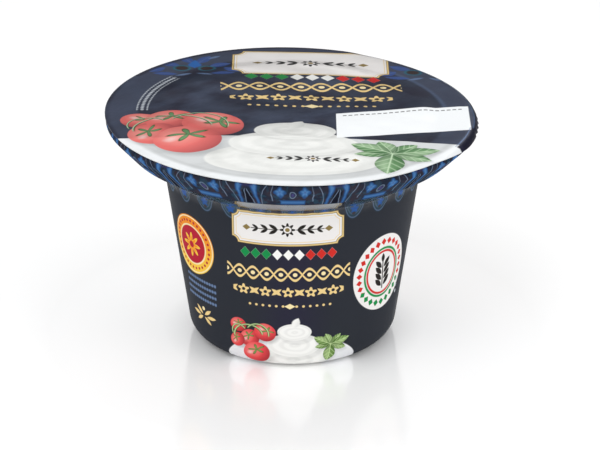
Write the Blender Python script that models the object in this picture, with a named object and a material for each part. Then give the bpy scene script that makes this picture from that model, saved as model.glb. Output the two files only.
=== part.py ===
"""A sealed tub of fresh ricotta: a tapering plastic cup with a flared rim, under a foil lid.

Metres, +Z up. The origin is the middle of the base, on the surface that the cup stands on.
The front of the print faces -Y.
"""

import math

import bmesh
import bpy
from mathutils import Vector

# The cup, from the top down
RIM_HEIGHT = 0.0521  # base to the flat top of the rim, at the axis
RIM_RADIUS = 0.0413
RIM_EDGE = 0.0012  # height of the rim's upright edge
RIM_ROUNDING = 0.0009  # of its upper corner
EDGE_ROUNDING = 0.0007  # of its lower corner
SKIRT_RADIUS = 0.0368  # lower edge of the flare under the rim
SKIRT_DEPTH = 0.0060  # below the rim's top
SKIRT_ROUNDING = 0.0005
NECK_RADIUS = 0.02893  # where the shoulder meets the wall
NECK_DEPTH = 0.0110
NECK_ROUNDING = 0.0007
RIB_COUNT = 64  # short pointed ribs round the wall, just below the neck
RIB_HEIGHT = 0.0003
RIB_PEAK = 0.0007  # below the neck
RIB_FOOT = 0.0017  # below the neck
BASE_RADIUS = 0.0230  # of the wall, carried down to the floor
BASE_CORNER = 0.0048
RECESS_RADIUS = 0.0150
RECESS_DEPTH = 0.0008

# The rim isn't quite true: it drops towards +X and sits a little to -X of the wall's axis.
LEAN = 0.022  # drop for each metre along +X
RIM_SHIFT = -0.0003  # along X
LEAN_START = 0.0400  # height where both begin

# The foil
FOIL_THICKNESS = 0.0003
FOIL_GAP = 0.0003  # to the rim
FOIL_RADIUS = 0.04145  # where the foil lies flat on the rim
SEAL_WIDTH = 0.0075  # flat ring that is sealed to the rim
CREASE_RADIUS = 0.0405  # where the foil turns down over the rim's edge
BEND_RADIUS = 0.0414
BEND_DROP = 0.00035
HEM_RADIUS = 0.0419  # of the turned-down edge
HEM_DROP = 0.00135
HEM_AZIMUTH = math.radians(14)  # middle of the turned-down stretch, from +X towards +Y
HEM_HALF_ANGLE = math.radians(47)  # to the middle of each fade
HEM_FADE = math.radians(26)
BULGE = 0.0004  # height of the loose middle above the sealed ring
WAVE = 0.0004  # height of its soft waves
WAVE_COUNT = 3  # round the middle
WAVE_TWIST = 170.0  # radians that the waves turn for each metre outwards
RIPPLE_COUNT = 7  # of the finer, straight waves
RIPPLE_SHARE = 0.4
MIDDLE_RINGS = (0.0, 0.25, 0.5, 0.7, 0.85, 0.92, 1.0)  # of the loose middle's radius

FLAT_BEND = (CREASE_RADIUS + FOIL_RADIUS) / 2.0  # the bend's ring while the foil is flat

CUP_SEGMENTS = 2 * RIB_COUNT
CUP_SHARP_ANGLE = math.radians(32)  # edges sharper than this stay crisp in the shading
FOIL_SEGMENTS = 96
FOIL_SHARP_ANGLE = math.radians(40)
MERGE_DISTANCE = 1e-7


def clear_scene():
    for obj in list(bpy.data.objects):
        bpy.data.objects.remove(obj, do_unlink=True)


def plastic_print():
    """Glossy near-black navy print on the cup."""
    return surface("cup_print", colour=(0.012, 0.015, 0.032, 1.0), roughness=0.22, metallic=0.0)


def foil_print():
    """Satin navy print on aluminium foil."""
    return surface("foil_print", colour=(0.045, 0.055, 0.095, 1.0), roughness=0.38, metallic=0.6)


def surface(name, colour, roughness, metallic):
    material = bpy.data.materials.new(name)
    material.use_nodes = True
    shader = material.node_tree.nodes["Principled BSDF"]
    shader.inputs["Base Color"].default_value = colour
    shader.inputs["Roughness"].default_value = roughness
    shader.inputs["Metallic"].default_value = metallic
    material.diffuse_color = colour
    return material


def smoothstep(start, end, value):
    share = min(max((value - start) / (end - start), 0.0), 1.0)
    return share * share * (3.0 - 2.0 * share)


def fillet(before, corner, after, radius, steps):
    """Points of an arc that rounds the corner between two straight runs."""
    to_before = (before - corner).normalized()
    to_after = (after - corner).normalized()
    half_angle = to_before.angle(to_after) / 2.0
    centre = corner + (to_before + to_after).normalized() * (radius / math.sin(half_angle))
    start = corner + to_before * (radius / math.tan(half_angle)) - centre
    sweep = math.pi - 2.0 * half_angle
    side = math.copysign(1.0, start.cross(corner - centre))
    for step in range(steps + 1):
        angle = side * sweep * step / steps
        turn = Vector((math.cos(angle), math.sin(angle)))
        yield centre + Vector((start.x * turn.x - start.y * turn.y, start.x * turn.y + start.y * turn.x))


def rounded_outline(corners):
    """Corners of (radius, height, rounding, steps), with each rounding above 0 turned into an arc."""
    points = [Vector((r, z)) for r, z, _, _ in corners]
    outline = []
    for index, (_, _, rounding, steps) in enumerate(corners):
        if rounding > 0.0:
            outline += fillet(points[index - 1], points[index], points[index + 1], rounding, steps)
        else:
            outline.append(points[index])
    return outline


def turned(outline, segments):
    """A bmesh of the outline, in (radius, height), turned once round the Z axis."""
    bm = bmesh.new()
    verts = [bm.verts.new((point.x, 0.0, point.y)) for point in outline]
    edges = [bm.edges.new(pair) for pair in zip(verts, verts[1:])]
    bmesh.ops.spin(
        bm, geom=verts + edges, cent=(0, 0, 0), axis=(0, 0, 1), angle=math.tau, steps=segments, use_merge=True
    )
    bmesh.ops.remove_doubles(bm, verts=bm.verts, dist=MERGE_DISTANCE)
    return bm


def add_object(name, bm, material, sharp_angle):
    mesh = bpy.data.meshes.new(name)
    bm.to_mesh(mesh)
    bm.free()
    mesh.materials.append(material)
    mesh.shade_smooth()
    mesh.set_sharp_from_angle(angle=sharp_angle)
    obj = bpy.data.objects.new(name, mesh)
    bpy.context.scene.collection.objects.link(obj)
    return obj


def wall_radius(height):
    neck_height = RIM_HEIGHT - NECK_DEPTH
    return BASE_RADIUS + (NECK_RADIUS - BASE_RADIUS) * height / neck_height


def cup_outline():
    """The cup's section from the middle of the rim's plane, down the outside, to the middle of the base."""
    neck_height = RIM_HEIGHT - NECK_DEPTH
    return rounded_outline(
        [
            (0.0, RIM_HEIGHT, 0.0, 0),
            (RIM_RADIUS, RIM_HEIGHT, RIM_ROUNDING, 4),
            (RIM_RADIUS, RIM_HEIGHT - RIM_EDGE, EDGE_ROUNDING, 3),
            (SKIRT_RADIUS, RIM_HEIGHT - SKIRT_DEPTH, SKIRT_ROUNDING, 4),
            (NECK_RADIUS, neck_height, NECK_ROUNDING, 3),
            (wall_radius(neck_height - RIB_PEAK), neck_height - RIB_PEAK, 0.0, 0),
            (wall_radius(neck_height - RIB_FOOT), neck_height - RIB_FOOT, 0.0, 0),
            (wall_radius(0.0), 0.0, BASE_CORNER, 7),
            (RECESS_RADIUS, 0.0, 0.0, 0),
            (RECESS_RADIUS - RECESS_DEPTH, RECESS_DEPTH, 0.0, 0),
            (0.0, RECESS_DEPTH, 0.0, 0),
        ]
    )


def raise_ribs(bm):
    """Every second vertex of the ring below the neck stands out, which leaves short pointed ribs."""
    peak_height = RIM_HEIGHT - NECK_DEPTH - RIB_PEAK
    for vert in bm.verts:
        if abs(vert.co.z - peak_height) > MERGE_DISTANCE:
            continue
        place = round(math.atan2(vert.co.y, vert.co.x) / math.tau * CUP_SEGMENTS)
        if place % 2 == 0:
            vert.co.xy *= 1.0 + RIB_HEIGHT / vert.co.xy.length


def lean_rim(bm):
    for vert in bm.verts:
        share = min(max((vert.co.z - LEAN_START) / (RIM_HEIGHT - LEAN_START), 0.0), 1.0)
        vert.co.z -= LEAN * vert.co.x * share
        vert.co.x += RIM_SHIFT * share


def build_cup():
    bm = turned(cup_outline(), CUP_SEGMENTS)
    raise_ribs(bm)
    lean_rim(bm)
    bmesh.ops.recalc_face_normals(bm, faces=bm.faces)
    return add_object("cup", bm, plastic_print(), CUP_SHARP_ANGLE)


def hem_share(azimuth):
    """1 where the foil is turned down over the rim's edge, 0 where it ends flat on the rim."""
    away = abs((azimuth - HEM_AZIMUTH + math.pi) % math.tau - math.pi)
    return 1.0 - smoothstep(HEM_HALF_ANGLE - HEM_FADE / 2.0, HEM_HALF_ANGLE + HEM_FADE / 2.0, away)


def foil_relief(radius, azimuth):
    """Height of the foil above its sealed ring: a low bulge with slow waves, never below the ring."""
    inner = FOIL_RADIUS - SEAL_WIDTH
    loose = 1.0 - smoothstep(MIDDLE_RINGS[-2] * inner, inner, radius)
    near_seal = smoothstep(MIDDLE_RINGS[1] * inner, MIDDLE_RINGS[-3] * inner, radius)
    wave = 0.5 + 0.5 * math.cos(WAVE_COUNT * azimuth + WAVE_TWIST * radius)
    ripple = 0.5 + 0.5 * math.cos(RIPPLE_COUNT * azimuth)
    mixed = (1.0 - RIPPLE_SHARE) * wave + RIPPLE_SHARE * ripple
    return loose * (BULGE + WAVE * mixed * near_seal)


def foil_outline():
    """Radii of the foil's rings, flat: the last two are moved where the hem is turned down."""
    inner = FOIL_RADIUS - SEAL_WIDTH
    radii = [inner * share for share in MIDDLE_RINGS]
    radii += [(inner + CREASE_RADIUS) / 2.0, CREASE_RADIUS, FLAT_BEND, FOIL_RADIUS]
    return [Vector((radius, 0.0)) for radius in radii]


def shape_foil(bm):
    """Moves each vertex of the flat disc to its place on the foil's upper face."""
    foil_top = RIM_HEIGHT + FOIL_GAP + FOIL_THICKNESS
    for vert in bm.verts:
        radius = vert.co.xy.length
        azimuth = math.atan2(vert.co.y, vert.co.x)
        height = foil_relief(radius, azimuth)
        share = hem_share(azimuth)
        if abs(radius - FLAT_BEND) < MERGE_DISTANCE:
            vert.co.xy *= 1.0 + share * (BEND_RADIUS - radius) / radius
            height = -share * BEND_DROP
        elif abs(radius - FOIL_RADIUS) < MERGE_DISTANCE:
            vert.co.xy *= 1.0 + share * (HEM_RADIUS - radius) / radius
            height = -share * HEM_DROP
        vert.co.z = foil_top + height - LEAN * vert.co.x
        vert.co.x += RIM_SHIFT


def build_foil():
    bm = turned(foil_outline(), FOIL_SEGMENTS)
    shape_foil(bm)
    bmesh.ops.recalc_face_normals(bm, faces=bm.faces)
    if sum(face.normal.z for face in bm.faces) < 0.0:
        bmesh.ops.reverse_faces(bm, faces=bm.faces)
    foil = add_object("foil_lid", bm, foil_print(), FOIL_SHARP_ANGLE)
    solidify = foil.modifiers.new("thickness", "SOLIDIFY")
    solidify.thickness = FOIL_THICKNESS
    solidify.offset = -1.0
    solidify.use_even_offset = True
    return foil


clear_scene()
build_cup()
build_foil()
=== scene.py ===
import math
from functools import partial, reduce

import bmesh
import bpy
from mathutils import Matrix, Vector


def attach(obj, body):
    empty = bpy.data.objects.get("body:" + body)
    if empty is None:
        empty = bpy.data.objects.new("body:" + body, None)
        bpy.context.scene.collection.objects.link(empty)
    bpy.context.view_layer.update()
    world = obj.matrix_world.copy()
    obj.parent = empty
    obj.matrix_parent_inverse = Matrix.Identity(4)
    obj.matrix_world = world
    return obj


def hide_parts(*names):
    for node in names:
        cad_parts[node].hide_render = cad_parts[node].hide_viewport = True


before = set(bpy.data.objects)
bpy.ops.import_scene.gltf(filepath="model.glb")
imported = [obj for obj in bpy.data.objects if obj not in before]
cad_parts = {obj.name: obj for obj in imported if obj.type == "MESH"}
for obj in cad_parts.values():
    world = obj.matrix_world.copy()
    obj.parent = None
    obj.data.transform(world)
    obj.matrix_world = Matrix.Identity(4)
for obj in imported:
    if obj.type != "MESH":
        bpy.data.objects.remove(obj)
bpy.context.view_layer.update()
mm = 0.001

# The rim isn't quite true to the wall: it tips towards +X and sits a little to -X.
rimLean = {
    "drop": 0.022,  # for each metre along +X
    "shift": -0.3,  # mm along X
    "start": 40.0,  # mm above the base, where both begin
    "end": 52.1,
}


# working in edit mode

def deselectAll():
    for each in list(bpy.context.selected_objects):
        each.select_set(False)


def startEditing(name):
    piece = bpy.context.active_object
    piece.name = name
    piece.data.name = name
    bpy.ops.object.mode_set(mode="EDIT")
    bpy.ops.mesh.select_all(action="SELECT")
    return piece


def stopEditing(piece):
    bpy.ops.object.mode_set(mode="OBJECT")
    deselectAll()
    piece.select_set(True)
    bpy.context.view_layer.objects.active = piece


def selectWhere(piece, kind, test):
    # selects the vertices, edges or faces that pass the test, and nothing else
    bpy.ops.mesh.select_all(action="DESELECT")
    bpy.context.tool_settings.mesh_select_mode = (kind == "VERT", kind == "EDGE", kind == "FACE")
    bm = bmesh.from_edit_mesh(piece.data)
    for item in {"VERT": bm.verts, "EDGE": bm.edges, "FACE": bm.faces}[kind]:
        if not item.hide and test(item):
            item.select_set(True)
    bm.select_flush_mode()
    bmesh.update_edit_mesh(piece.data)


def onRing(vert, radius, height):
    return abs(vert.co.xy.length - radius * mm) < 2e-6 and abs(vert.co.z - height * mm) < 2e-6


def growRing(fromRing, toRing):
    # extrudes the selected ring and gives the new one its own radius and height
    (oldRadius, oldHeight), (radius, height) = fromRing, toRing
    bpy.ops.mesh.extrude_region_move(TRANSFORM_OT_translate={"value": (0, 0, (height - oldHeight) * mm)})
    scale = radius / oldRadius
    bpy.ops.transform.resize(value=(scale, scale, 1), center_override=(0, 0, height * mm))


def startShell(name, segments, rings):
    # a shell from ring to ring, closed by the last one and left in edit mode
    deselectAll()
    radius, height = rings[0]
    bpy.ops.mesh.primitive_circle_add(
        vertices=segments, radius=radius * mm, fill_type="NOTHING", location=(0, 0, 0))
    piece = startEditing(name)
    bpy.ops.transform.translate(value=(0, 0, height * mm))
    for fromRing, toRing in zip(rings, rings[1:]):
        growRing(fromRing, toRing)
    bpy.ops.mesh.edge_face_add()
    return piece


def roundRing(piece, ring, radius, halfAngle, segments):
    # bevels one ring of edges to a fillet of that radius
    selectWhere(piece, "EDGE", lambda edge: all(onRing(vert, *ring) for vert in edge.verts))
    offset = radius * mm / math.tan(math.radians(halfAngle))
    bpy.ops.mesh.bevel(offset=offset, segments=segments, profile=0.5)


def leanRim(piece):
    # each ring above the start tips a little more than the one below it
    bm = bmesh.from_edit_mesh(piece.data)
    bm.verts.index_update()
    rings = {}
    for vert in bm.verts:
        if vert.co.z > rimLean["start"] * mm:
            rings.setdefault(round(vert.co.z, 6), set()).add(vert.index)
    span = (rimLean["end"] - rimLean["start"]) * mm
    for height, ring in rings.items():
        selectWhere(piece, "VERT", lambda vert: vert.index in ring)
        share = min((height - rimLean["start"] * mm) / span, 1.0)
        angle = -math.atan(rimLean["drop"]) * share
        bpy.ops.transform.rotate(value=angle, orient_axis="Y", center_override=(0, 0, height))
        bpy.ops.transform.translate(value=(rimLean["shift"] * mm * share, 0, 0))


def applyModifiers(piece):
    for modifier in list(piece.modifiers):
        bpy.ops.object.modifier_apply(modifier=modifier.name)


cup = {
    "segments": 256,
    "recess": (15.0, 0.8),  # radius and depth of the hollow under the base
    "foot": 23.0,  # radius of the wall, carried down to the floor
    "wallGrowth": 0.1442,  # of the wall's radius, for each mm of height
    "neck": 41.1,
    "wallRings": (12.0, 26.0, 39.0, 39.4),  # heights: the third keeps the ribs' shading off the wall
    "ribPeak": 40.4,
    "ribSegments": 4,  # of the ring for each rib
    "ribRise": 0.3,
    "skirt": (36.8, 46.1),
    "rimEdge": (41.3, 50.9),
    "rimTop": (41.3, 52.45),
    "sealRing": 34.0,
    "roundings": [  # ring, radius, half the angle between its two walls, segments
        ("foot", 4.8, 49.1, 12),
        ("hollow", 0.3, 67.5, 3),
        ("recess", 0.3, 67.5, 3),
        ("neck", 0.7, 65.0, 5),
        ("skirt", 0.5, 55.0, 4),
        ("rimEdge", 0.7, 69.0, 4),
        ("rimTop", 0.9, 45.0, 6),
    ],
}


def makeCup(size):
    def onWall(height):
        return size["foot"] + size["wallGrowth"] * height, height

    recessRadius, recessDepth = size["recess"]
    rings = {
        "hollow": (recessRadius - recessDepth, recessDepth),
        "recess": (recessRadius, 0.0),
        "foot": (size["foot"], 0.0),
        **{height: onWall(height) for height in size["wallRings"]},
        "ribPeak": onWall(size["ribPeak"]),
        "neck": onWall(size["neck"]),
        "skirt": size["skirt"],
        "rimEdge": size["rimEdge"],
        "rimTop": size["rimTop"],
        "seal": (size["sealRing"], size["rimTop"][1]),
    }
    piece = startShell("cup_shell", size["segments"], list(rings.values()))
    selectWhere(piece, "EDGE", lambda edge: all(onRing(vert, *rings["hollow"]) for vert in edge.verts))
    bpy.ops.mesh.edge_face_add()

    def onRib(vert, step):
        place = round(math.atan2(vert.co.y, vert.co.x) / math.tau * size["segments"])
        return onRing(vert, *rings["ribPeak"]) and place % size["ribSegments"] == step

    peakRadius = rings["ribPeak"][0]
    for step, rise in ((0, size["ribRise"]), (1, size["ribRise"] * 0.5), (3, size["ribRise"] * 0.5)):
        selectWhere(piece, "VERT", lambda vert: onRib(vert, step))
        scale = (peakRadius + rise) / peakRadius
        bpy.ops.transform.resize(value=(scale, scale, 1), center_override=(0, 0, 0))

    for name, *rounding in size["roundings"]:
        roundRing(piece, rings[name], *rounding)
    leanRim(piece)
    bpy.ops.mesh.select_all(action="SELECT")
    bpy.ops.mesh.normals_make_consistent(inside=False)
    stopEditing(piece)
    bpy.ops.object.shade_smooth_by_angle(angle=math.radians(30))
    return piece


cupPiece = makeCup(cup)
print("cup:", len(cupPiece.data.polygons), "faces")


foil = {
    "segments": 384,
    "radius": 41.45,
    "bend": 41.0,
    "crease": 40.5,
    "sealed": (39.6, 38.2, 36.8, 35.6, 34.7),  # rings on the part that is sealed to the rim
    "seal": 33.9,  # its inner edge
    "top": 52.7,
    "thickness": 0.2,
    "ringStep": 0.62,
    "bulge": 0.32,
    "rise": 5.0,  # width of the slope up to the loose middle
    "hemBend": (41.4, -0.35),
    "hemEdge": (41.9, -1.35),
    "hemMiddle": 14.0,  # degrees from +X towards +Y
    "hemHalf": 34.0,
    "hemFade": 18.0,  # mm along the edge, over which the hem runs out
    "pleats": {"from": -13.0, "to": 17.0, "every": 4, "out": 0.22},
    "ringShare": 0.13,  # of the folds, on the sealed ring
    "folds": [  # soft folds: size of the noise in mm, height in mm, how much it is drawn out, turn
        (15.0, 1.1, 2.4, 30.0),
        (6.0, 0.34, 2.6, -24.0),
        (2.4, 0.07, 1.4, 15.0),
    ],
}


def makeFoil(size):
    radii = [size["radius"], size["bend"], size["crease"], *size["sealed"], size["seal"]]
    while radii[-1] > 2.0 * size["ringStep"]:
        radii.append(radii[-1] - size["ringStep"])
    piece = startShell("foil_skin", size["segments"], [(radius, size["top"]) for radius in radii])
    bpy.ops.mesh.select_all(action="SELECT")
    bpy.ops.mesh.normals_make_consistent(inside=False)
    turnDownHem(piece, size, "bend", size["hemBend"])
    turnDownHem(piece, size, "radius", size["hemEdge"])
    pleatHem(piece, size)
    stopEditing(piece)
    raiseMiddle(piece, size)
    tipOver(piece)
    thickness = piece.modifiers.new("thickness", "SOLIDIFY")
    thickness.thickness = size["thickness"] * mm
    thickness.offset = -1.0
    applyModifiers(piece)
    bpy.ops.object.shade_smooth_by_angle(angle=math.radians(50))
    return piece


def turnDownHem(piece, size, ringName, target):
    # pulls one stretch of a ring down and out, with the fall-off along that ring alone
    radius, drop = target
    middle, half = math.radians(size["hemMiddle"]), math.radians(size["hemHalf"])

    def inHem(vert):
        return abs(math.atan2(vert.co.y, vert.co.x) - middle) < half

    selectWhere(piece, "VERT", lambda vert: onRing(vert, size[ringName], size["top"]))
    bpy.ops.mesh.hide(unselected=True)
    selectWhere(piece, "VERT", inHem)
    fade = {
        "use_proportional_edit": True, "proportional_edit_falloff": "SMOOTH",
        "proportional_size": size["hemFade"] * mm,
    }
    scale = radius / size[ringName]
    bpy.ops.transform.resize(value=(scale, scale, 1), center_override=(0, 0, size["top"] * mm), **fade)
    bpy.ops.transform.translate(value=(0, 0, drop * mm), **fade)
    bpy.ops.mesh.reveal(select=False)


def pleatHem(piece, size):
    # small pleats, where the turned-down edge has been pressed together
    pleats = size["pleats"]
    low, high = math.radians(pleats["from"]), math.radians(pleats["to"])

    def onPleat(vert):
        azimuth = math.atan2(vert.co.y, vert.co.x)
        place = round(azimuth / math.tau * size["segments"])
        outside = vert.co.xy.length > (size["hemEdge"][0] - 0.3) * mm
        return outside and low < azimuth < high and place % pleats["every"] < pleats["every"] // 2

    selectWhere(piece, "VERT", onPleat)
    scale = 1.0 - pleats["out"] / size["hemEdge"][0]
    bpy.ops.transform.resize(value=(scale, scale, 1), center_override=(0, 0, 0))


def raiseMiddle(piece, size):
    # the loose middle stands a little proud of the sealed ring, in soft folds
    loose = piece.vertex_groups.new(name="loose")
    for vert in piece.data.vertices:
        inwards = size["seal"] - vert.co.xy.length / mm
        share = min(max(inwards / size["rise"], 0.0), 1.0)
        share = share * share * (3.0 - 2.0 * share)
        sealed = size["ringShare"] if inwards > size["seal"] - size["crease"] + 1.0 else 0.0
        loose.add([vert.index], max(share, sealed), "REPLACE")
    lift = piece.modifiers.new("lift", "DISPLACE")
    lift.direction = "Z"
    lift.mid_level = 0.0
    lift.strength = size["bulge"] * mm
    lift.vertex_group = "loose"
    hands = []
    for number, (noiseSize, height, stretch, turn) in enumerate(size["folds"]):
        grain = bpy.data.textures.new("foilFold%d" % number, "CLOUDS")
        grain.noise_scale = 1.0
        grain.noise_depth = 0
        grain.noise_basis = "IMPROVED_PERLIN"
        hand = bpy.data.objects.new("foldHand%d" % number, None)
        bpy.context.scene.collection.objects.link(hand)
        hand.rotation_euler[2] = math.radians(turn)
        hand.location = (0.013 * number, 0.007, 0)
        hand.scale = (noiseSize * stretch * mm, noiseSize * mm, noiseSize * mm)
        hands.append(hand)
        fold = piece.modifiers.new("fold%d" % number, "DISPLACE")
        fold.texture = grain
        fold.texture_coords = "OBJECT"
        fold.texture_coords_object = hand
        fold.direction = "Z"
        fold.mid_level = 0.5
        fold.strength = height * mm
        fold.vertex_group = "loose"
    bpy.context.view_layer.update()
    applyModifiers(piece)
    for hand in hands:
        bpy.data.objects.remove(hand)


def tipOver(piece):
    # the lid lies on the leaning rim
    bpy.ops.object.mode_set(mode="EDIT")
    bpy.ops.mesh.select_all(action="SELECT")
    bpy.ops.transform.rotate(
        value=-math.atan(rimLean["drop"]), orient_axis="Y", center_override=(0, 0, foil["top"] * mm))
    bpy.ops.transform.translate(value=(rimLean["shift"] * mm, 0, 0))
    stopEditing(piece)


foilPiece = makeFoil(foil)
print("foil:", len(foilPiece.data.polygons), "faces")


# a small kit that prints shapes with a material's own nodes

class printField:
    # a number or a point that changes over the surface: one output of the node tree
    def __init__(self, socket):
        self.socket = socket

    def __add__(self, other):
        return mathNode("ADD", self, other)

    def __sub__(self, other):
        return mathNode("SUBTRACT", self, other)

    def __rsub__(self, other):
        return mathNode("SUBTRACT", other, self)

    def __mul__(self, other):
        return mathNode("MULTIPLY", self, other)

    def __truediv__(self, other):
        return mathNode("DIVIDE", self, other)

    def __abs__(self):
        return mathNode("ABSOLUTE", self)

    __radd__ = __add__
    __rmul__ = __mul__


def feed(socket, value):
    if isinstance(value, printField):
        socket.id_data.links.new(value.socket, socket)
    else:
        socket.default_value = value


def mathNode(operation, *values):
    tree = next(value for value in values if isinstance(value, printField)).socket.id_data
    node = tree.nodes.new("ShaderNodeMath")
    node.operation = operation
    for socket, value in zip(node.inputs, values):
        feed(socket, value)
    return printField(node.outputs[0])


def seenFrom(point, centre, size=(1.0, 1.0), turn=0.0):
    # the point measured from a motif's middle, along its own axes and in its own size
    cosine, sine = math.cos(math.radians(turn)), math.sin(math.radians(turn))

    def measured(shareX, shareY):
        result = -shareX * centre[0] - shareY * centre[1]
        for value, share in zip(point, (shareX, shareY)):
            if share:
                result = mathNode("MULTIPLY_ADD", value, share, result)
        return result
    return measured(cosine / size[0], sine / size[0]), measured(-sine / size[1], cosine / size[1])


def reach(point):
    x, y = point
    return mathNode("SQRT", mathNode("MULTIPLY_ADD", x, x, y * y))


def rising(value, start, end):
    # 0 up to the start, 1 from the end on, and straight between them
    slope = 1.0 / (end - start)
    return smallest(largest(mathNode("MULTIPLY_ADD", value, slope, -start * slope), 0.0), 1.0)


crisp = 0.12  # mm, width of a printed edge


def within(distance, limit, soft=crisp):
    # 1 below the limit and 0 above it, with an edge that wide
    return rising(distance, limit + soft / 2.0, limit - soft / 2.0)


def band(value, middle, half, soft=crisp):
    return within(abs(value - middle), half, soft)


def wrapped(value, period):
    return mathNode("WRAP", value, period / 2.0, -period / 2.0)


def smallest(*values):
    return reduce(partial(mathNode, "MINIMUM"), values)


def largest(*values):
    return reduce(partial(mathNode, "MAXIMUM"), values)


def pieceCoordinates(tree):
    node = tree.nodes.get("pieceCoordinates")
    if node is None:
        node = tree.nodes.new("ShaderNodeTexCoord")
        node.name = "pieceCoordinates"
    return printField(node.outputs["Object"])


def noise(tree, size, detail=2.0, stretch=(1.0, 1.0, 1.0), turn=0.0):
    # a cloudy field over the piece's own coordinates, with clouds of that size in mm
    spread = tree.nodes.new("ShaderNodeMapping")
    spread.vector_type = "TEXTURE"
    feed(spread.inputs["Vector"], pieceCoordinates(tree))
    spread.inputs["Location"].default_value = (3.1 * mm, 1.7 * mm, 0.0)
    spread.inputs["Rotation"].default_value = (0.0, 0.0, math.radians(turn))
    spread.inputs["Scale"].default_value = [size * share * mm for share in stretch]
    cloud = tree.nodes.new("ShaderNodeTexNoise")
    feed(cloud.inputs["Vector"], printField(spread.outputs[0]))
    cloud.inputs["Scale"].default_value = 1.0
    cloud.inputs["Detail"].default_value = detail
    return printField(cloud.outputs[0])


class inkSheet:
    # the colour so far, with each new ink laid over it
    def __init__(self, tree, palette, ground):
        self.tree = tree
        self.palette = palette
        self.colour = palette[ground] if isinstance(ground, str) else ground

    def lay(self, share, colour):
        if isinstance(colour, str):
            colour = self.palette[colour]
        node = self.tree.nodes.new("ShaderNodeMix")
        node.data_type = "RGBA"
        feed(node.inputs[0], share)
        feed(node.inputs[6], self.colour)
        feed(node.inputs[7], colour)
        self.colour = printField(node.outputs[2])

    def fill(self, distance, limit, colour, soft=crisp):
        self.lay(within(distance, limit, soft), colour)

    def shade(self, share, strength=1.0):
        self.lay(share * strength, (0.0, 0.0, 0.0, 1.0))

    def fresh(self, ground):
        # a second sheet with the same inks, to be laid on this one through a shape
        return inkSheet(self.tree, self.palette, ground)


def motif(draw):
    # makes a motif print through a node group of its own
    def drawn(sheet, point, *sizes, **named):
        group = bpy.data.node_groups.new(draw.__name__, "ShaderNodeTree")
        for name, kind in (("across", "Float"), ("up", "Float"), ("ink", "Color")):
            group.interface.new_socket(name, in_out="INPUT", socket_type="NodeSocket" + kind)
        group.interface.new_socket("ink", in_out="OUTPUT", socket_type="NodeSocketColor")
        entry = group.nodes.new("NodeGroupInput")
        across, up, ink = (printField(output) for output in entry.outputs[:3])
        page = inkSheet(group, sheet.palette, ink)
        draw(page, (across, up), *sizes, **named)
        feed(group.nodes.new("NodeGroupOutput").inputs[0], page.colour)
        node = sheet.tree.nodes.new("ShaderNodeGroup")
        node.node_tree = group
        for socket, value in zip(node.inputs, (*point, sheet.colour)):
            feed(socket, value)
        sheet.colour = printField(node.outputs[0])
    return drawn


def screenColour(red, green, blue):
    # a colour as a screen shows it, 0 to 255
    def straight(value):
        value /= 255.0
        return value / 12.92 if value <= 0.04045 else ((value + 0.055) / 1.055) ** 2.4
    return straight(red), straight(green), straight(blue), 1.0


inks = {  # as the photo shows them
    "navy": (50, 53, 60),
    "plum": (50, 48, 66),
    "foilNavy": (59, 65, 80),
    # the paler foil ink below is laid only as painted sheen
    "foilSheen": (84, 92, 113),
    "royal": (34, 84, 156),
    "sky": (70, 124, 184),
    "line": (108, 130, 166),
    "pale": (196, 202, 210),
    "umber": (66, 52, 52),
    "violet": (72, 64, 118),
    "night": (26, 27, 36),
    "teal": (52, 104, 124),
    "ivory": (245, 242, 240),
    "charcoal": (48, 45, 43),
    "gold": (242, 212, 148),
    "goldDark": (146, 126, 78),
    "goldPale": (252, 232, 180),
    "green": (36, 146, 80),
    "red": (212, 54, 48),
    "white": (253, 252, 248),
    "cream": (236, 237, 240),
    "groove": (224, 224, 221),
    "label": (247, 250, 252),
    "tomato": (230, 78, 82),
    "tomatoDark": (132, 40, 50),
    "tomatoPale": (253, 150, 142),
    "leaf": (120, 154, 86),
    "leafDark": (60, 94, 42),
    "leafPale": (206, 230, 168),
    "orange": (243, 148, 48),
    "amber": (250, 204, 76),
    "crimson": (184, 40, 60),
}


def mixInks(light, glare, changes):
    # the colour each ink needs, so that it shows as above under that much light and gloss
    def mixed(look):
        return tuple(min(max((value - glare) / light, 0.002), 0.96) for value in look[:3]) + (1.0,)
    return {name: mixed(screenColour(*look)) for name, look in {**inks, **changes}.items()}


# motifs, each drawn round its own middle, in mm

def leafMask(point, centre, length, width, turn, soft=crisp):
    x, y = seenFrom(point, centre, (length / 2.0, width / 2.0), turn)
    edge = abs(y) + x * x  # 1 on the leaf's outline
    return within(edge, 1.0, 2.0 * soft / width), x, y


def layLeaf(sheet, ink, *leaf):
    sheet.lay(leafMask(*leaf)[0], ink)


def flower(sheet, point, radius, petals, depth, colour, soft=crisp):
    x, y = point
    lobes = mathNode("COSINE", mathNode("ARCTAN2", x, y) * petals)
    sheet.fill(reach(point) - lobes * (radius * depth), radius * (1.0 - depth), colour, soft)


@motif
def cartouche(sheet, point, half, notch):
    # an ivory panel with notched corners, a gold frame and a fine inner line
    x, y = point
    x, y = abs(x) - half[0], abs(y) - half[1]
    corner = notch - reach((x, y))
    edge = largest(x, y, corner)
    sheet.fill(edge, 0.0, "goldDark")
    sheet.fill(abs(edge + 0.25), 0.14, "gold")
    sheet.fill(edge, -0.55, "ivory")
    sheet.fill(abs(edge + 1.05), 0.07, "gold")


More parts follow.
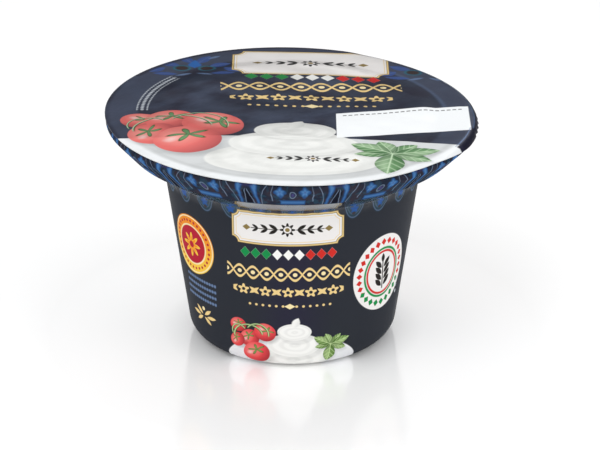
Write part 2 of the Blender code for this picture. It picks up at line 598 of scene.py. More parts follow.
@motif
def sprig(sheet, point, scale):
    # a rosette between two sprays of leaves
    x, y = point
    side = (abs(x), y)
    flower(sheet, point, 1.75 * scale, 8.0, 0.22, "charcoal")
    sheet.fill(reach(point), 0.85 * scale, "ivory")
    sheet.fill(reach(point), 0.5 * scale, "goldDark")
    for step in range(3):
        middle = (3.1 + 2.0 * step) * scale
        size = (1.0 - 0.14 * step) * scale
        for up in (1.0, -1.0):
            centre = (middle, 0.62 * up * size)
            layLeaf(sheet, "charcoal", side, centre, 2.3 * size, 0.85 * size, 32.0 * up)
    stem = band(abs(x), 5.0 * scale, 3.1 * scale) * within(abs(y), 0.10)
    sheet.lay(stem, "charcoal")
    tip = abs(abs(x) - 9.1 * scale) * 0.8 + abs(y)
    sheet.fill(tip, 0.75 * scale, "goldDark")


@motif
def lozengeRow(sheet, point, pitch, high, half):
    # a row of nine lozenges, the left ones green, the middle ones white and the right ones red
    x, y = point
    shape = abs(wrapped(x, pitch)) * (high / (0.92 * pitch)) + abs(y)
    share = within(shape, high / 2.0) * within(abs(x), half)
    third = pitch * 1.5
    sheet.lay(share, "white")
    sheet.lay(share * within(x, -third), "green")
    sheet.lay(share * within(third - x, 0.0), "red")


@motif
def guilloche(sheet, point, half, period, swing, stroke):
    # two waves that cross, with a bead in each eye
    x, y = point
    wave = mathNode("SINE", x * (math.tau / period)) * swing
    strokes = smallest(abs(y - wave), abs(y + wave))
    span = within(abs(x), half)
    sheet.lay(within(strokes, stroke) * span, "gold")
    beads = reach((wrapped(x - period / 4.0, period / 2.0), y))
    sheet.lay(within(beads, swing * 0.34) * span, "goldPale")


@motif
def garland(sheet, point, half, pitch, size):
    # small flowers with a pair of leaves between them
    x, y = point
    span = within(abs(x), half)
    cell = (wrapped(x, pitch), y)
    row = sheet.fresh(sheet.colour)
    flower(row, cell, size, 5.0, 0.24, "gold")
    row.fill(reach(cell), size * 0.3, "navy")
    between = (abs(wrapped(x, pitch)) - pitch / 2.0, y)
    for turn in (38.0, -38.0):
        layLeaf(row, "gold", between, (0.0, 0.0), size * 2.0, size * 0.62, turn)
    sheet.lay(span, row.colour)


@motif
def beadRule(sheet, point, half, pitch, radius):
    x, y = point
    beads = reach((wrapped(x, pitch), y))
    sheet.lay(within(beads, radius) * within(abs(x), half), "gold")
    sheet.fill(abs(x) * 0.6 + abs(y), radius * 2.4, "goldPale")


@motif
def tomato(sheet, point, centre, radius, turn):
    body = seenFrom(point, centre, (radius * 1.05, radius * 0.96), turn)
    distance = reach(body)
    sheet.shade(within(reach(seenFrom(point, (centre[0] + 0.6, centre[1] - radius * 0.35),
                                      (radius * 1.1, radius * 0.85))), 1.0, 0.35), 0.28)
    skin = sheet.fresh("tomato")
    skin.fill(reach(seenFrom(body, (-0.2, 0.32))), 0.35, "tomatoPale", 0.9)
    skin.fill(1.7 - reach(seenFrom(body, (-0.55, 0.7))), 0.0, "tomatoDark", 1.0)
    x, y = seenFrom(body, (0.12, 0.3), (1.0, 0.72))
    spikes = mathNode("POWER", abs(mathNode("COSINE", mathNode("ARCTAN2", x, y) * 2.5)), 3.0)
    star = reach((x, y)) - spikes * 0.55
    skin.fill(star, 0.12, "leafDark", 0.1)
    skin.fill(star, 0.03, "leaf", 0.06)
    skin.lay(within(reach(seenFrom(body, (-0.46, 0.16), (0.17, 0.13))), 1.0, 1.4) * 0.45, "white")
    sheet.fill(distance, 1.0, skin.colour, crisp / radius)


@motif
def herbLeaf(sheet, point, base, length, width, turn):
    # one broad leaf that grows from its base, with a midrib, side veins and a paler half
    angle = math.radians(turn)
    middle = (base[0] + math.cos(angle) * length / 2.0, base[1] + math.sin(angle) * length / 2.0)
    share, x, y = leafMask(point, middle, length, width, turn)
    blade = sheet.fresh("leaf")
    blade.lay(within(y, 0.0, 0.5) * 0.5, "leafPale")
    blade.lay(within(1.0 - abs(y) - x * x, 0.1, 0.9) * 0.9, "leafDark")
    blade.lay(within(x, -0.35, 1.2) * 0.6, "leafDark")
    veins = mathNode("SINE", (x - abs(y) * 0.55) * 14.0)
    blade.lay(within(veins, -0.75, 0.5) * 0.5, "leafPale")
    blade.fill(abs(y), 0.05, "leafPale", 0.08)
    below = (middle[0] + 0.3, middle[1] - 0.6)
    sheet.shade(leafMask(point, below, length * 1.04, width * 1.08, turn, 0.9)[0], 0.16)
    sheet.lay(share, blade.colour)


def layHerb(sheet, place, centre, size):
    # leaves of different sizes round one stem, the small ones below
    for turn, length, width in ((44, 0.72, 0.34), (186, 0.78, 0.32), (112, 0.66, 0.42), (338, 0.84, 0.4),
                                (14, 1.0, 0.42), (150, 0.95, 0.44), (262, 1.02, 0.6)):
        herbLeaf(sheet, place, centre, length * size, width * size, turn)


@motif
def vine(sheet, point, centre, size):
    # thin stems that arch over the tomatoes
    arches = [
        (-0.1, -0.5, 1.0, 0.8, 12.0, 0.0),
        (0.55, -0.3, 0.75, 0.75, -18.0, 0.2),
        (-0.75, -0.35, 0.5, 0.55, 30.0, 0.1),
    ]
    for x, y, wide, high, turn, start in arches:
        middle = (centre[0] + x * size, centre[1] + y * size)
        curl = seenFrom(point, middle, (wide * size, high * size), turn)
        upper = within(start - curl[1], 0.0, 0.2)
        for radius, half, soft, ink in ((1.0, 0.22, 0.25, "leafDark"), (1.02, 0.1, 0.2, "leafPale")):
            sheet.lay(within(abs(reach(curl) - radius) * (size * high), half, soft) * upper, ink)


@motif
def palmette(sheet, point):
    # a blue palmette: petals above, a core, dark eyes with teal rims, and wings to both sides
    x, y = point
    side = (abs(x), y)
    wings = [
        (8.6, -3.4, 4.6, 2.6, -38.0, "royal"), (5.8, 0.3, 5.4, 2.7, 24.0, "royal"),
        (6.6, -5.9, 5.8, 1.9, 4.0, "royal"), (2.0, 3.5, 5.8, 2.7, 60.0, "royal"),
        (4.4, 5.2, 3.6, 1.0, 38.0, "line"), (2.4, -6.3, 4.0, 1.0, -24.0, "line"),
    ]
    for centreX, centreY, length, width, turn, ink in wings:
        share, _, out = leafMask(side, (centreX, centreY), length, width, turn, 0.3)
        sheet.lay(share * 0.9, ink)
        sheet.lay(within(abs(out), 0.1, 0.3) * share * 0.4, "line")
    eye = reach(seenFrom(side, (2.9, -2.2), (2.1, 1.8)))
    sheet.fill(eye, 1.0, "teal", 0.2)
    sheet.fill(eye, 0.72, "umber", 0.25)
    sheet.fill(reach(point), 1.5, "sky", 0.5)
    layLeaf(sheet, "sky", point, (0.0, 0.6), 5.2, 1.9, 90.0, 0.3)


@motif
def swirl(sheet, point, rolls, tip):
    # soft rolls of cheese, one on another, with a shadow under each
    for (centreX, centreY, halfWide, halfHigh) in rolls:
        shape = reach(seenFrom(point, (centreX, centreY), (halfWide, halfHigh)))
        sheet.shade(within(reach(seenFrom(point, (centreX + 0.6, centreY - 1.1), (halfWide, halfHigh))),
                           1.0, 0.16), 0.14)
        roll = sheet.fresh("white")
        grooves = mathNode("SINE", shape * 17.0 + noise(sheet.tree, halfWide, 1.0) * 5.0)
        roll.lay(within(grooves, -0.2, 1.2) * 0.35, "groove")
        roll.lay(within(1.0 - shape, 0.0, 0.35) * 0.35, "groove")
        sheet.fill(shape, 1.0, roll.colour, 0.03)
    share, _, y = leafMask(point, tip[:2], *tip[2:], 0.3)
    sheet.lay(share, "white")
    sheet.lay(share * within(y, -0.2, 0.8) * 0.5, "groove")


def newMaterial(name):
    # with its shader, its tree and the piece's own coordinates in mm
    material = bpy.data.materials.new(name)
    material.use_nodes = True
    tree = material.node_tree
    shader = tree.nodes["Principled BSDF"]
    split = tree.nodes.new("ShaderNodeSeparateXYZ")
    feed(split.inputs[0], pieceCoordinates(tree))
    return material, shader, tree, [printField(output) / mm for output in split.outputs]


def printMotifs(sheet, place, plan, motifs):
    # each motif at its own place, with its sizes from the plan
    for name, draw in motifs.items():
        sizes = dict(plan[name])
        draw(sheet, seenFrom(place, sizes.pop("centre"), turn=sizes.pop("turn", 0.0)), **sizes)


panelAndRows = {
    "panel": cartouche, "crest": sprig, "lozenges": lozengeRow, "waves": guilloche, "garland": garland,
    "rule": beadRule,
}


def printGarnish(sheet, place, plan):
    for centreX, centreY, size, turn in plan["tomatoes"]:
        tomato(sheet, place, (centreX, centreY), size, turn)
    vine(sheet, place, *plan["vine"])
    layHerb(sheet, place, **plan["leaves"])


lidPrint = {
    "underLight": (1.2, 0.035),  # light on the lid, and the gloss it adds
    "changes": {
        "tomato": (231, 117, 113), "tomatoDark": (148, 70, 76), "tomatoPale": (250, 170, 160),
        "leaf": (110, 152, 106), "leafDark": (46, 92, 56), "leafPale": (200, 226, 190),
        "white": (244, 245, 242), "cream": (219, 222, 223), "groove": (219, 221, 218),
        "royal": (66, 90, 150), "sky": (44, 106, 176), "night": (38, 46, 68),
    },
    "paintedLightPatches": [  # painted sheen (pale) and painted shade (dark) of the foil, as patches: size in mm, how much drawn out, turn, where they begin and end, share, ink
        (11.0, 2.4, 32.0, 0.42, 0.66, 0.7, "foilSheen"),
        (6.0, 1.8, 48.0, 0.42, 0.62, 0.8, "night"),
    ],
    "ring": {"radius": 37.6, "half": 3.3, "share": 0.5},  # painted sheen: the sealed one is drawn paler
    "panel": {"centre": (4.2, 30.2), "half": (18.2, 8.0), "notch": 2.4},
    "crest": {"centre": (4.2, 30.2), "scale": 1.35},
    "lozenges": {"centre": (4.6, 20.6), "pitch": 3.5, "high": 3.9, "half": 15.7},
    "waves": {"centre": (4.3, 14.6), "turn": 3.0, "half": 20.6, "period": 9.4, "swing": 2.1,
               "stroke": 0.5},
    "garland": {"centre": (4.3, 8.0), "half": 18.4, "pitch": 7.4, "size": 1.9, "turn": 3.0},
    "rule": {"centre": (4.4, 3.2), "half": 15.0, "pitch": 2.0, "radius": 0.45, "turn": 3.0},
    "dottedArc": {"radius": 33.5, "half": 1.3, "pitch": (0.95, 1.3), "dot": 0.38,
                  "span": (143.0, 181.0)},
    "plate": {"centre": (0.0, -33.0), "half": (80.0, 17.6), "lip": 38.9},
    "rolls": [(0.0, -27.6, 19.0, 8.6), (0.3, -19.2, 14.2, 6.8), (0.6, -12.2, 9.0, 4.8)],
    "tip": (0.9, -8.8, 5.4, 3.4, 62.0),
    "tomatoes": [(-33.5, -7.0, 4.4, -30.0), (-27.0, -6.4, 5.4, 10.0), (-17.5, -9.2, 6.6, -25.0),
                 (-30.5, -14.5, 5.6, 60.0), (-22.8, -17.8, 7.2, 20.0)],
    "vine": ((-25.4, -7.0), 8.6),
    "leaves": {"centre": (21.6, -23.4), "size": 10.8},
    "plateSprig": {"centre": (4.4, -27.6), "scale": 1.0},
    "blankPanel": {"centre": (24.6, -4.75), "half": (14.9, 7.0), "slope": 0.23,
                   "dashes": {"above": 5.3, "pitch": 1.3, "half": (0.42, 0.26), "reach": 13.4}},
    "palmettes": [(-22.6, 28.4), (30.8, 28.4)],
    "edges": [  # stretches of the foil's edge with a painted shadow where it turns under, and a painted highlight line inside, on the crease: radius, span, how dark, and how light the line inside
        (40.25, (-27.5, -10.0), 1.0, 0.7),
        (40.85, (-10.0, 64.0), 0.8, 0.6),
        (40.5, (64.0, 150.0), 0.7, 0.0),
    ],
    "sealHighlight": {"radius": 34.5, "half": 0.3, "span": (-4.0, 66.0), "share": 0.4},  # a painted highlight along the seal's inner edge
    "crinkleShade": (4.0, 1.7, 24.0, 0.48, 0.62, 0.07),  # painted shade of fine crinkles in the foil: grey clouds in the white
    "finish": {"metal": 0.55, "gloss": 0.18, "rough": 0.3, "grain": 1.6, "grainDepth": 0.12,
               "grainShare": 0.35},
}


def alongRim(place, span, soft):
    # 1 between two angles round the lid, in degrees from +X
    start, end = span
    x, y = seenFrom(place, (0.0, 0.0), turn=(start + end) / 2.0)
    return band(mathNode("ARCTAN2", y, x), 0.0, math.radians((end - start) / 2.0), soft)


# patches for painted sheen and painted shade, from a cloudy noise
def paintedLightPatches(tree, size, drawn, turn, start, end, share):
    return rising(noise(tree, size, 4.0, (drawn, 1.0, 1.0), turn), start, end) * share


def printLid(plan):
    material, shader, tree, (x, y, _) = newMaterial("foilInk")
    place = (x, y)
    radius = reach(place)
    sheet = inkSheet(tree, mixInks(*plan["underLight"], plan["changes"]), "foilNavy")
    # painted sheen and painted shade on the foil, in patches
    for *cloud, ink in plan["paintedLightPatches"]:
        sheet.lay(paintedLightPatches(tree, *cloud), ink)
    # painted sheen on the sealed ring
    part = plan["ring"]
    sheet.lay(band(radius, part["radius"], part["half"], 0.8) * part["share"], "foilSheen")
    # a painted highlight along the seal's inner edge
    part = plan["sealHighlight"]
    shine = band(radius, part["radius"], part["half"], 1.0) * alongRim(place, part["span"], 0.5)
    sheet.lay(shine * part["share"], "line")
    for centre in plan["palmettes"]:
        palmette(sheet, seenFrom(place, centre))

    printMotifs(sheet, place, plan, panelAndRows)
    part = plan["dottedArc"]
    angle = mathNode("ARCTAN2", y, x * -1.0)
    off = radius - part["radius"]
    dots = reach((wrapped(angle * part["radius"], part["pitch"][0]), wrapped(off, part["pitch"][1])))
    arc = within(abs(off), part["half"], 0.2) * alongRim(place, part["span"], 0.02)
    sheet.lay(within(dots, part["dot"], 0.3) * arc, "pale")

    part = plan["plate"]
    plate = reach(seenFrom(place, part["centre"], part["half"]))
    white = within(plate, 1.0, 0.006)
    sheet.lay(white, "cream")
    sheet.shade(band(radius, part["lip"] - 0.6, 0.3, 1.1) * white, 0.15)
    sheet.lay(rising(radius, part["lip"], part["lip"] + 0.8) * white * 0.9, "label")
    swirl(sheet, place, plan["rolls"], plan["tip"])
    # painted shade of fine crinkles over the white
    sheet.shade(paintedLightPatches(tree, *plan["crinkleShade"]) * white)
    printGarnish(sheet, place, plan)
    printMotifs(sheet, place, plan, {"plateSprig": sprig})
    part = plan["blankPanel"]
    x, y = seenFrom(place, part["centre"])
    y = y - x * part["slope"]
    blank = within(largest(abs(x) - part["half"][0], abs(y) - part["half"][1]), 0.0)
    sheet.lay(blank, "label")
    part = part["dashes"]
    halfWide, halfHigh = part["half"]
    dash = largest(abs(wrapped(x, part["pitch"])) - halfWide, abs(y - part["above"]) - halfHigh)
    sheet.lay(within(dash, 0.0, 0.2) * within(abs(x), part["reach"]) * 0.85, "charcoal")

    # painted shadow along the turned-down edge, and a painted highlight line on its crease
    for edge, span, shadowShare, light in plan["edges"]:
        stretch = alongRim(place, span, 0.012)
        sheet.lay(within(edge - radius, 0.0, 0.25) * stretch * shadowShare, "night")
        sheet.lay(band(radius, edge - 0.3, 0.13, 0.2) * stretch * light, "line")

    bare = 1.0 - largest(white, blank)
    feed(shader.inputs["Base Color"], sheet.colour)
    finish = plan["finish"]
    feed(shader.inputs["Metallic"], bare * finish["metal"])
    shader.inputs["Specular IOR Level"].default_value = finish["gloss"]
    feed(shader.inputs["Roughness"], finish["rough"] + noise(tree, 5.0, 3.0) * 0.12)
    bump = tree.nodes.new("ShaderNodeBump")
    bump.inputs["Distance"].default_value = finish["grainDepth"] * mm
    bump.inputs["Strength"].default_value = finish["grainShare"]
    feed(bump.inputs["Height"], noise(tree, finish["grain"], 3.0, (1.6, 1.0, 1.0), 60.0))
    feed(shader.inputs["Normal"], printField(bump.outputs["Normal"]))
    return material


cupPrint = {
    "underLight": (1.0, 0.006),
    "wall": (22.95, 0.1436),  # radius at the base, and its growth for each mm of height
    "panel": {"centre": (-1.1, 36.5), "half": (12.6, 4.2), "notch": 1.4},
    "crest": {"centre": (-1.1, 36.5), "scale": 1.0},
    "lozenges": {"centre": (-0.9, 30.1), "pitch": 2.42, "high": 2.7, "half": 10.9},
    "waves": {"centre": (-1.0, 25.0), "half": 14.1, "period": 6.27, "swing": 1.45, "stroke": 0.32},
    "garland": {"centre": (-1.0, 20.4), "half": 12.6, "pitch": 5.04, "size": 1.35},
    "rule": {"centre": (-0.6, 16.8), "half": 9.9, "pitch": 1.5, "radius": 0.3},
    "plate": {"centre": (-0.4, 0.5), "half": (15.6, 8.4)},
    "footShadeHeight": 0.5,  # mm above the base: the print is darker below it, a painted shadow where the foot meets the floor
    "baseRadius": 19.2,  # bare plastic within
    "rolls": [(0.2, 2.6, 8.2, 4.2), (0.3, 6.6, 6.0, 3.1), (0.4, 10.0, 3.8, 2.2)],
    "tip": (0.7, 12.4, 2.9, 1.7, 66.0),
    "glow": {"half": 0.22, "soft": 0.3},  # radians, of a painted sheen in front: a slightly more violet stretch
    "tomatoes": [(-12.6, 10.6, 1.9, 10.0), (-9.8, 7.6, 2.3, 40.0), (-6.2, 9.6, 2.4, -25.0),
                 (-12.8, 6.6, 1.8, 60.0), (-8.2, 3.9, 3.0, 20.0)],
    "vine": ((-9.8, 10.0), 3.4),
    "leaves": {"centre": (8.6, 6.2), "size": 4.7},
    "roundBadge": {"centre": (-26.3, 27.3), "radius": 7.5},
    "ovalBadge": {"centre": (22.7, 21.3), "half": (8.7, 9.7)},
    "dotRows": {"centre": (-23.9, 16.2), "half": 5.4, "pitch": 0.85, "rows": 4, "apart": 1.65},
    "flourish": {"centre": (-23.2, 9.6), "size": 1.0},
    "marks": {"centre": (29.3, 15.0), "high": 5.0},
    "scrolls": {
        "underLight": (0.95, 0.004),  # less light gets under the rim
        "changes": {
            "navy": (42, 48, 62), "umber": (60, 54, 62), "teal": (46, 76, 96), "royal": (48, 84, 136),
            "sky": (80, 126, 178), "line": (124, 142, 168), "violet": (70, 68, 114),
        },
        "edgeShade": 0.15,  # the rim's upright edge catches more light than the skirt
        "repeats": 13,
        "edges": (46.1, 50.9, 52.3),  # height of the skirt's lower edge, of the rim's edge and of the lid
        "fold": 0.64,  # share of the border that lies on the skirt
        "radius": 38.5,
        "wallRadius": 28.7,
        "neck": 42.4,
    },
    "gloss": {"wall": 0.12, "skirt": 0.02, "neck": 0.9, "neckLow": 38.2, "neckFull": 41.2,
              "coatRough": 0.1, "rough": 0.26},
}


def printCup(plan):
    material, shader, tree, (x, y, height) = newMaterial("cupInk")
    height = height + x * rising(height, rimLean["start"], rimLean["end"]) * rimLean["drop"]
    azimuth = mathNode("ARCTAN2", x, y * -1.0)  # 0 in front
    twice = wrapped(azimuth, math.pi)  # the print stands twice round the cup
    wallRadius = height * plan["wall"][1] + plan["wall"][0]
    underneath = within(reach((x, y)), plan["baseRadius"], 0.4)
    place = (twice * wallRadius, height)
    sheet = inkSheet(tree, mixInks(*plan["underLight"], {}), "navy")

    # painted sheen: a lighter, more violet stretch in front
    part = plan["glow"]
    sheet.lay(within(abs(twice), part["half"], part["soft"]) * 0.7, "plum")
    printScrolls(sheet, (azimuth, height), plan["scrolls"])
    printMotifs(sheet, place, plan, panelAndRows)
    printMotifs(sheet, place, plan, {"roundBadge": roundBadge, "ovalBadge": ovalBadge})

    part = plan["plate"]
    plate = reach(seenFrom(place, part["centre"], part["half"]))
    sheet.fill(plate, 1.0, "cream", 0.015)
    swirl(sheet, place, plan["rolls"], plan["tip"])
    printGarnish(sheet, place, plan)

    part = plan["dotRows"]
    x, y = seenFrom(place, part["centre"])
    dots = reach((wrapped(x, part["pitch"]), wrapped(y + part["apart"] / 2.0, part["apart"])))
    block = largest(abs(x) - part["half"], abs(y) - part["apart"] * part["rows"] / 2.0)
    sheet.lay(within(dots, 0.38, 0.25) * within(block, 0.0), "line")
    printMotifs(sheet, place, plan, {"flourish": flourish})
    part = plan["marks"]
    x, y = seenFrom(place, part["centre"])
    sheet.lay(within(abs(x) * 1.4 + abs(wrapped(y, 1.7)), 0.62) * within(abs(y), part["high"] / 2.0),
              "pale")

    # painted shadow at the foot, where it meets the floor
    sheet.shade(within(height, plan["footShadeHeight"], 0.4), 0.15)
    sheet.lay(underneath, "night")

    # varnish: most of it round the neck, hardly any under the rim
    part = plan["gloss"]
    skirtLow = plan["scrolls"]["edges"][0]
    onNeck = rising(height, part["neckLow"], part["neckFull"])
    varnish = onNeck * onNeck * (part["neck"] - part["wall"]) + part["wall"]
    varnish = varnish - within(skirtLow - height, 0.2, 0.2) * (part["neck"] - part["skirt"])
    feed(shader.inputs["Base Color"], sheet.colour)
    shader.inputs["Specular IOR Level"].default_value = 0.0
    shader.inputs["Coat Roughness"].default_value = part["coatRough"]
    feed(shader.inputs["Coat Weight"], varnish)
    feed(shader.inputs["Roughness"], part["rough"] + noise(tree, 4.0, 3.0) * 0.12)
    return material


@motif
def flourish(sheet, point, size):
    # a small gold spray of curved leaves
    x, y = point
    side = (abs(x), y)
    for centreX, centreY, length, width, turn in ((1.5, 0.9, 2.9, 0.9, 38.0), (2.7, -0.2, 3.1, 0.9, 8.0),
                                                 (1.5, -1.3, 2.7, 0.9, -34.0)):
        layLeaf(sheet, "gold", side, (centreX * size, centreY * size), length * size, width * size, turn)
    sheet.fill(reach(seenFrom(point, (0.0, 1.6 * size))), 0.5 * size, "goldPale")


@motif
def printScrolls(sheet, point, part):
    # the border: arches and pairs of blossoms by turns, with loops that hang down the wall
    azimuth, height = point
    low, fold, high = part["edges"]
    period = math.tau / part["repeats"]
    skirt = inkSheet(sheet.tree, mixInks(*part["underLight"], part["changes"]), "navy")
    wobble = (noise(sheet.tree, 2.4, 1.0) - 0.5) * 0.5
    across = wrapped(azimuth, period) * part["radius"] + wobble  # mm from a pair of blossoms
    over = wrapped(azimuth + period / 2.0, period) * part["radius"] + wobble  # mm from an arch
    # up runs from 0 at the skirt's lower edge to 1 at the lid, as much on the skirt as it shows
    onSkirt = mathNode("MINIMUM", height, fold) - low
    onEdge = mathNode("MAXIMUM", height, fold) - fold
    up = onSkirt * (part["fold"] / (fold - low)) + onEdge * ((1.0 - part["fold"]) / (high - fold))
    down = 1.0 - up
    tall = 4.0  # mm that the border's height counts for, in a motif
    skirt.lay(within(noise(sheet.tree, 2.2, 3.0), 0.5, 0.22) * 0.75, "umber")
    skirt.lay(within(0.56 - noise(sheet.tree, 1.3, 3.0, (1.0, 1.0, 1.8)), 0.0, 0.1) * 0.55, "teal")

    # the arch: two strands that swell upwards, a dark drop with a pale gable, and fine lines outside
    side = abs(over)
    bulb = within(0.66 - up, 0.0, 0.5)
    strand = abs(side - down * 0.5 - 1.4) - bulb * 0.42
    skirt.fill(strand, 0.34, "royal", 0.3)
    skirt.lay(within(strand, 0.06, 0.35) * (up * 0.5 + 0.5), "sky")
    skirt.lay(within(largest(side - 1.3, 0.9 - up), 0.0, 0.2) * 0.8, "violet")
    drop = reach((over * (1.0 / 0.95), (up - 0.35) * (tall / 1.5)))
    skirt.lay(within(drop, 1.0, 0.2) * 0.85, "night")
    gable = abs(side + up * 1.1 - 0.95)
    skirt.lay(within(gable, 0.09, 0.14) * within(up, 0.72, 0.1) * 0.7, "line")
    outer = abs(side - 2.7 - up * up * 1.5)
    skirt.lay(within(outer, 0.09, 0.14) * 0.75, "line")
    skirt.lay(within(abs(side - 2.5 - down * 0.7), 0.2, 0.3) * within(up, 0.55, 0.3) * 0.6, "teal")

    # the blossoms, with a bar below and a bud between them
    petals = (abs(across) - 2.5, (up - 0.64) * tall)
    flower(skirt, petals, 1.2, 4.0, 0.16, "royal", 0.4)
    flower(skirt, petals, 0.8, 5.0, 0.2, "sky", 0.6)
    skirt.lay(within(reach(petals), 0.22, 0.3) * 0.5, "violet")
    bud = reach((across, (up - 0.5) * tall))
    skirt.lay(band(bud, 0.62, 0.09, 0.14) * 0.7, "line")
    skirt.fill(bud, 0.34, "violet", 0.3)
    bar = largest(abs(across) - 2.7, (abs(up - 0.13) - 0.1) * tall)
    skirt.fill(bar, 0.0, "royal", 0.35)
    skirt.lay(within(bar, -0.22, 0.35) * 0.7, "sky")
    stem = largest(abs(abs(across) - 4.3) - 0.07, (abs(up - 0.34) - 0.15) * tall)
    skirt.fill(stem, 0.0, "line", 0.2)
    tendril = within(abs(abs(across) - 4.7 + up * 0.8), 0.07, 0.14) * within(0.45 - up, 0.0, 0.1)
    skirt.lay(tendril * 0.6, "line")
    skirt.shade(rising(height, fold - 0.3, fold + 0.3), part["edgeShade"])
    sheet.fill(low - height, 0.0, skirt.colour, 0.1)

    # on the wall
    hang = (wrapped(azimuth, period / 2.0) * part["wallRadius"] + wobble * 0.5, height - part["neck"])
    wall = sheet.fresh(sheet.colour)
    loop = reach(seenFrom(hang, (0.0, 0.0), (2.3, 4.2)))
    wall.lay(within(loop, 1.0, 0.3) * 0.3, "teal")
    wall.lay(band(loop, 1.0, 0.03, 0.06) * 0.6, "line")
    wall.lay(band(loop, 0.8, 0.03, 0.06) * 0.3, "line")
    flower(wall, seenFrom(hang, (0.0, -2.0)), 1.0, 5.0, 0.18, "royal", 0.5)
    wall.lay(within(reach(seenFrom(hang, (0.0, -0.5), (1.7, 0.6))), 1.0, 0.5) * 0.8, "royal")
    wall.lay(within(reach(seenFrom(hang, (0.0, -3.2), (0.45, 0.35))), 1.0, 0.6) * 0.8, "umber")
    sheet.fill(height, low, wall.colour, 0.1)


@motif
def roundBadge(sheet, point, radius):
    # an orange ring that turns yellow downwards, with beads, and a crimson middle with a flower
    distance = reach(point)
    x, y = point
    ring = sheet.fresh("orange")
    ring.fill(y, radius * -0.1, "amber", radius)
    ring.fill(distance, radius * 0.64, "crimson")
    ring.fill(abs(distance - radius * 0.66), 0.2, "goldPale")
    ring.fill(abs(distance - radius * 0.95), 0.16, "goldPale")
    around = wrapped(mathNode("ARCTAN2", x, y), math.tau / 30.0) * (radius * 0.81)
    ring.fill(reach((around, distance - radius * 0.81)), 0.34, "crimson")
    flower(ring, point, radius * 0.42, 8.0, 0.3, "amber")
    flower(ring, point, radius * 0.3, 8.0, 0.3, "orange")
    ring.fill(distance, radius * 0.11, "crimson")
    sheet.fill(distance, radius, ring.colour)


@motif
def ovalBadge(sheet, point, half):
    # white, with a ring of lozenges, a green and a red ring, and an upright spray of leaves
    oval = reach(seenFrom(point, (0.0, 0.0), half))
    x, y = point
    face = sheet.fresh("ivory")
    size = (half[0] + half[1]) / 2.0
    around = wrapped(mathNode("ARCTAN2", x, y), math.tau / 26.0) * (size * 0.82)
    lozenges = within(abs(around) * 1.1 + abs(oval - 0.82) * size, 0.85)
    face.lay(lozenges, "red")
    face.lay(lozenges * within(y, half[1] * -0.38), "green")
    face.fill(abs(oval - 0.64), 0.03, "green", 0.02)
    face.fill(abs(oval - 0.56), 0.03, "red", 0.02)
    side = (abs(x), y)
    for step in range(4):
        layLeaf(face, "charcoal", side, (1.35, -2.5 + 1.6 * step), 3.0, 1.25, 48.0)
    layLeaf(face, "charcoal", point, (0.0, 3.7), 2.4, 1.1, 90.0)
    stem = within(largest(abs(x) - 0.18, abs(y + 0.8) - 3.6), 0.0)
    face.lay(stem, "charcoal")
    sheet.fill(oval, 1.0, face.colour, crisp / half[0])


def dress(piece, material):
    piece.data.materials.clear()
    piece.data.materials.append(material)


dress(foilPiece, printLid(lidPrint))
dress(cupPiece, printCup(cupPrint))
print("printed:", foilPiece.active_material.name, cupPiece.active_material.name)

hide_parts("cup")
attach(cupPiece, "root")
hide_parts("foil_lid")
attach(foilPiece, "root")


studio = {
    "floorSize": 3.0,
    "sky": {  # darker low down behind the tub
        "side": 0.75, "zenith": 1.1, "behind": -0.7, "fade": (0.405, 0.07),
    },
    "lamps": {  # place in metres, width, height, power
        "key": ((-0.45, -0.5, 0.75), 0.6, 0.6, 2.05),
        "fill": ((0.6, -0.35, 0.5), 0.5, 0.5, 1.15),
        "top": ((0.0, 0.35, 0.9), 0.7, 0.7, 1.8),
        "glint": ((0.26, 0.79, 0.50), 0.16, 0.16, 0.3),
        "strip": ((-0.1, 0.88, 0.55), 0.9, 0.07, 0.12),
    },
    "lightTable": {  # mirror and glow in the floor, by the distance from the tub's axis in mm; the glow is a painted pool of light round the tub, with a painted shadow where it fades out near the foot
        "full": 20.0, "none": 56.0, "mirror": 0.22, "glow": 0.24, "footShadow": (16.0, 30.0), "rough": 0.14,
    },
    "aim": (0.0017, 0.0, 0.0252),
    "target": (0.0, 0.0, 0.02633),
    "distance": 0.664,
    "elevation": 23.78,
    "lens": 175.8,
}


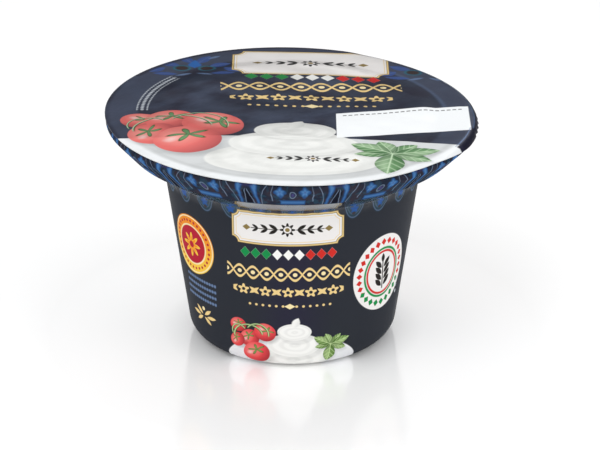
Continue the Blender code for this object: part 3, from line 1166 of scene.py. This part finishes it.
def makeStudio(plan):
    deselectAll()
    bpy.ops.mesh.primitive_plane_add(size=plan["floorSize"], location=(0, 0, 0))
    floor = startEditing("floor")
    bpy.ops.mesh.subdivide(number_cuts=4)
    stopEditing(floor)
    material, shader, tree, (x, y, _) = newMaterial("paleFloor")
    shader.inputs["Base Color"].default_value = (0.95, 0.95, 0.95, 1.0)
    table = plan["lightTable"]
    away = reach((x, y))
    near = rising(away, table["none"], table["full"])
    feed(shader.inputs["Metallic"], near * near * table["mirror"])
    shader.inputs["Emission Color"].default_value = (1.0, 1.0, 1.0, 1.0)
    # the floor glows round the tub though it is no lamp: a painted pool of light, fading towards the foot
    # as a painted shadow
    feed(shader.inputs["Emission Strength"], near * rising(away, *table["footShadow"]) * table["glow"])
    feed(shader.inputs["Roughness"], table["rough"] + noise(tree, 200.0) * 0.02)
    dress(floor, material)

    world = bpy.data.worlds.new("studioWorld")
    bpy.context.scene.world = world
    world.use_nodes = True
    tree = world.node_tree
    coordinates = tree.nodes.new("ShaderNodeTexCoord")
    direction = tree.nodes.new("ShaderNodeSeparateXYZ")
    tree.links.new(coordinates.outputs["Generated"], direction.inputs[0])
    rise = mathNode("MAXIMUM", printField(direction.outputs[2]), 0.0)
    sky = plan["sky"]
    behind = mathNode("MAXIMUM", printField(direction.outputs[1]), 0.0) * within(rise, *sky["fade"])
    strength = rise * rise * (sky["zenith"] - sky["side"]) + behind * sky["behind"] + sky["side"]
    backdrop = tree.nodes["Background"]
    backdrop.inputs["Color"].default_value = (1.0, 1.0, 1.0, 1.0)
    feed(backdrop.inputs["Strength"], strength)
    for name, (place, wide, high, power) in plan["lamps"].items():
        bpy.ops.object.light_add(type="AREA", location=place)
        lamp = bpy.context.active_object
        lamp.name = name + "Light"
        lamp.data.shape = "RECTANGLE"
        lamp.data.size = wide
        lamp.data.size_y = high
        lamp.data.energy = power
        lamp.rotation_euler = (Vector((0, 0, 0.03)) - lamp.location).to_track_quat("-Z", "Y").to_euler()

    angle = math.radians(plan["elevation"])
    target = Vector(plan["target"])
    place = target + Vector((0, -math.cos(angle), math.sin(angle))) * plan["distance"]
    deselectAll()
    bpy.ops.object.camera_add(location=place)
    camera = bpy.context.active_object
    camera.name = "photoCamera"
    camera.data.lens = plan["lens"]
    camera.data.sensor_width = 36.0
    camera.data.clip_start = 0.01
    camera.rotation_euler = (Vector(plan["aim"]) - place).to_track_quat("-Z", "Y").to_euler()
    bpy.context.scene.camera = camera
    bpy.context.scene.view_settings.view_transform = "Standard"


makeStudio(studio)
print("studio ready")
